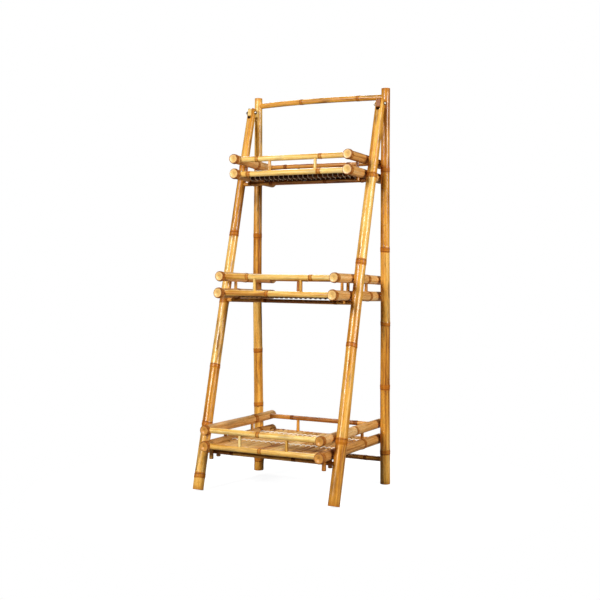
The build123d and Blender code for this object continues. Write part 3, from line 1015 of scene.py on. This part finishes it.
def tray_deck(name, place, front_y):
    """The slats, the sticks under them and the twine that ties them."""
    body, prefix = name + "_tray", name + "_tray_"
    rng = np.random.default_rng(seed_of(prefix))
    inside = RAIL_X - LOWER_R
    pitch = 2 * inside / SLAT_COUNT
    start = front_y + SPINDLE_R + 0.2 * MM
    end = BACK_RAIL_Y - SPINDLE_R - 0.2 * MM
    xs, slats = [], []
    for count in range(SLAT_COUNT):
        x = pitch * (count + 0.5 - SLAT_COUNT / 2) + rng.uniform(-0.4, 0.4) * MM
        level = SLAT_FLAT + rng.uniform(-0.2, 0.3) * MM
        radius = SLAT_R + rng.uniform(-0.5, 0.35) * MM
        rings = [rng.uniform(0.12, 0.88)] if rng.random() < 0.55 else []
        turn, length = basis(place @ Vector((x, start, level)),
                             place @ Vector((x + rng.uniform(-0.8, 0.8) * MM, end, level)))
        points, *rest = slat_surface(length, radius, rings, seed_of(prefix) + 17 * count)
        slats.append((place_points(turn, points), *rest))
        xs.append(x)
    deck = build(prefix + "slats", body, [SLAT, END, HOLLOW], slats)
    sharp_ends(deck, 50)

    stick_z = SLAT_FLAT - STICK_R - 0.1 * MM
    half = inside + SET_IN
    runs, cords = [], []
    for count, share in enumerate(STICKS):
        y = front_y + (BACK_RAIL_Y - front_y) * share
        ends = [place @ Vector((x, y, stick_z)) for x in (-half, half)]
        runs.append((*ends, STICK_R, STICK_R, [rng.uniform(0.2, 0.8)]))
        path = smooth_path(lacing_route(xs, y, stick_z, rng), 1.1 * MM)
        points, *rest = twine(path, CORD_R, count)
        cords.append((place_points(place, points), *rest))
    # the cross sticks take the darker copy of the bamboo, painted shade under the deck
    sticks(prefix + "cross_sticks", body, "bamboo_brown", [SHADED_STICK_BAMBOO, END], runs, sides=18,
           bend=0.2 * MM, edge=0.5 * MM, pith=0.6 * MM)
    twine_skin = TAN_TWINE if name == "middle" else WHITE_TWINE
    build(prefix + "lacing", body, [twine_skin], cords)


def tray(name, reach, slope, rise, peg_r, tips, gaps, proud):
    body, prefix = name + "_tray", name + "_tray_"
    pivot = Vector(joints[body + "_tilt"]["pos_m"])
    place = Matrix.Translation(pivot) @ Matrix.Rotation(radians(-slope), 4, "X")
    rise = rise * MM
    front = -reach * MM
    front_y = front + FRONT_SETBACK

    def at(x, y, z):
        return place @ Vector((x, y, z))

    for level, z, radius in (("lower", 0.0, LOWER_R), ("upper", rise, UPPER_R)):
        for side_name, side in SIDES:
            tip = front - proud[level + "_" + side_name] * MM
            pole("%s%s_rail_%s" % (prefix, level, side_name), body, SAND,
                 at(side * RAIL_X, tip, z), at(side * RAIL_X, REAR_OVERHANG, z), radius,
                 extra=(COLLAR_AT / (REAR_OVERHANG - tip),), bend=0.9 * MM, sides=44,
                 collar=1.0 * MM, sawn=END_BROWN if name == "bottom" else END)
        for node, y, thick, material in (
                ("front_rail_", front_y, FRONT_RAIL_R, PALE),
                ("back_rail_", BACK_RAIL_Y, BACK_RAIL_R, BROWN)):
            pole(prefix + node + level, body, material, at(-RAIL_REACH, y, z),
                 at(RAIL_REACH, y, z), thick, bend=0.9 * MM)

    runs = []
    for y, radius in ((front_y, FRONT_RAIL_R), (BACK_RAIL_Y, BACK_RAIL_R)):
        for share in CROSS_SPINDLES:
            x = 2 * (RAIL_X - LOWER_R) * (share - 0.5)
            runs.append((at(x, y, radius - SET_IN), at(x, y, rise - radius + SET_IN),
                         SPINDLE_R, SPINDLE_R * 0.85, []))
    for _, side in SIDES:
        for share in SIDE_SPINDLES:
            y = front + (REAR_OVERHANG - front) * share
            runs.append((at(side * RAIL_X, y, LOWER_R - SET_IN),
                         at(side * RAIL_X, y, rise - UPPER_R + SET_IN),
                         SPINDLE_R, SPINDLE_R * 0.9, []))
    # the front spindles in the pale bamboo; the back and side ones in the darker brown, which
    # paints the shade they stand in
    tints = [0] * len(CROSS_SPINDLES) + [1] * (len(runs) - len(CROSS_SPINDLES))
    sticks(prefix + "spindles", body, "bamboo_brown", [PALE, BROWN, END], runs, tints, sides=22,
           bend=0.1 * MM, fine=3)

    tray_pegs(prefix, body, place, peg_r * MM, tips, gaps)
    tray_deck(name, place, front_y)


def tray_pegs(prefix, body, place, peg_r, tips, gaps):
    """Dowels under the side rails, on both sides of the front rung."""
    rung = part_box("front_rung_" + body.split("_")[0])
    centre = Vector((0, (rung[0][1] + rung[1][1]) / 2, (rung[0][2] + rung[1][2]) / 2))
    rung_y = (place.inverted() @ centre).y
    below = -(LOWER_R + GAP + RUNG_R)
    runs = []
    for _, side in SIDES:
        x = side * (RAIL_X - PEG_INSET)
        for step, gap, tip in zip((-1, 1), gaps, tips):
            y = rung_y + step * (RUNG_R + gap * MM + peg_r)
            runs.append((place @ Vector((x, y, below - tip * MM)),
                         place @ Vector((x, y, -LOWER_R + 6 * MM)), peg_r, peg_r * 0.9, []))
    sticks(prefix + "pegs", body, "bamboo_brown", [BROWN, END_BROWN], runs, sides=24,
           bend=0.1 * MM, fine=3, edge=1.8 * MM)


for name, shape in TRAYS.items():
    tray(name, **shape)

# the dowels from the lower side rails into the posts
pins = []
for side_name, side in SIDES:
    for name in TRAYS:
        pivot = Vector(joints[name + "_tray_tilt"]["pos_m"])
        pins.append(((side * (RAIL_X + 1.0 * MM), pivot.y, pivot.z),
                     (side * (POST_X - 4.0 * MM), pivot.y, pivot.z), PIN_R, PIN_R, []))
sticks("tray_pivot_pins", "rear_frame", "bamboo_brown", [BROWN, END], pins, sides=24,
       bend=0.0, fine=3)


# ---- floor and studio ----

WHITE = (1.0, 1.0, 1.0, 1.0)


def paper_material():
    """White paper: the lens sees it overexposed, with soft shadows near the object; the
    object itself gets little light back from it."""
    mat = Shader("studio_paper")
    mat.tree.nodes.remove(mat.surface)
    place = mat.node("TexCoord", (), "Object")
    away = mat.node("VectorMath", {0: place}, "Value", operation="LENGTH")
    lit = mat.node("BsdfDiffuse", {"Color": (0.34, 0.33, 0.32, 1.0)})
    glow = mat.node("Emission", {"Color": (0.905, 0.913, 0.92, 1.0)})
    near = mat.node("AddShader", {0: lit, 1: glow})
    white = mat.node("Emission", {"Color": WHITE})
    far = mat.ramp(away, (0.45, 0.0), (0.90, 1.0), smooth=True)
    seen = mat.node("MixShader", {0: far, 1: near, 2: white})
    dim = mat.node("BsdfDiffuse", {"Color": (0.30, 0.29, 0.27, 1.0)})
    ray = mat.node("LightPath", (), "Is Camera Ray")
    both = mat.node("MixShader", {0: ray, 1: dim, 2: seen})
    mat.feed(mat.tree.nodes["Material Output"].inputs["Surface"], both)
    return mat.owner


def paper():
    """A round sheet of white paper under the object."""
    reach = 3.2
    corners = [(reach * cos(t), reach * sin(t), 0) for t in once_round(64)]
    mesh = bpy.data.meshes.new("studio_paper")
    mesh.from_pydata(corners, [], [tuple(range(len(corners)))])
    mesh.materials.append(paper_material())
    add_object("studio_paper", mesh)


def soft_light(name, place, aim, power, wide, tall):
    data = bpy.data.lights.new(name, "AREA")
    data.shape = "RECTANGLE"
    data.size, data.size_y = wide, tall
    data.energy = power
    light = add_object(name, data)
    light.location = place
    light.rotation_euler = (Vector(aim) - Vector(place)).to_track_quat("-Z", "Y").to_euler()


def air():
    """White for the camera, and a dim warm room for the light on the object."""
    sky = Shader("studio_air", "worlds", "Background")
    sky.finish(Color=(1.0, 0.88, 0.72, 1.0), Strength=0.02)
    white = sky.node("Background", {"Color": WHITE, "Strength": 1.0})
    ray = sky.node("LightPath", (), "Is Camera Ray")
    both = sky.node("MixShader", {0: ray, 1: sky.surface.outputs[0], 2: white})
    sky.feed(sky.tree.nodes["World Output"].inputs["Surface"], both)
    bpy.context.scene.world = sky.owner


def studio():
    paper()
    soft_light("front_left", (-0.95, -3.5, 2.3), (0, 0, 0.7), 158, 0.36, 1.5)
    soft_light("key_right", (3.2, -0.5, 1.75), (0, 0, 0.75), 95, 1.0, 1.2)
    soft_light("behind", (-1.6, 2.6, 3.0), (0, 0, 0.7), 48, 1.2, 1.2)
    air()
    bpy.context.scene.view_settings.view_transform = "Standard"


def camera():
    """A little to the right of the front, nearly level, from between the upper two trays."""
    turn = radians(27.08)
    away = 3.749
    data = bpy.data.cameras.new("camera")
    data.sensor_width = 36.0
    data.lens = 63.83
    data.shift_y = -0.045
    view = add_object("camera", data)
    tall = 0.7876
    view.location = (away * sin(turn), post_y - away * cos(turn), tall)
    view.rotation_euler = (radians(88.96), 0, radians(28.163))
    bpy.context.scene.camera = view


studio()
camera()
bpy.context.view_layer.update()
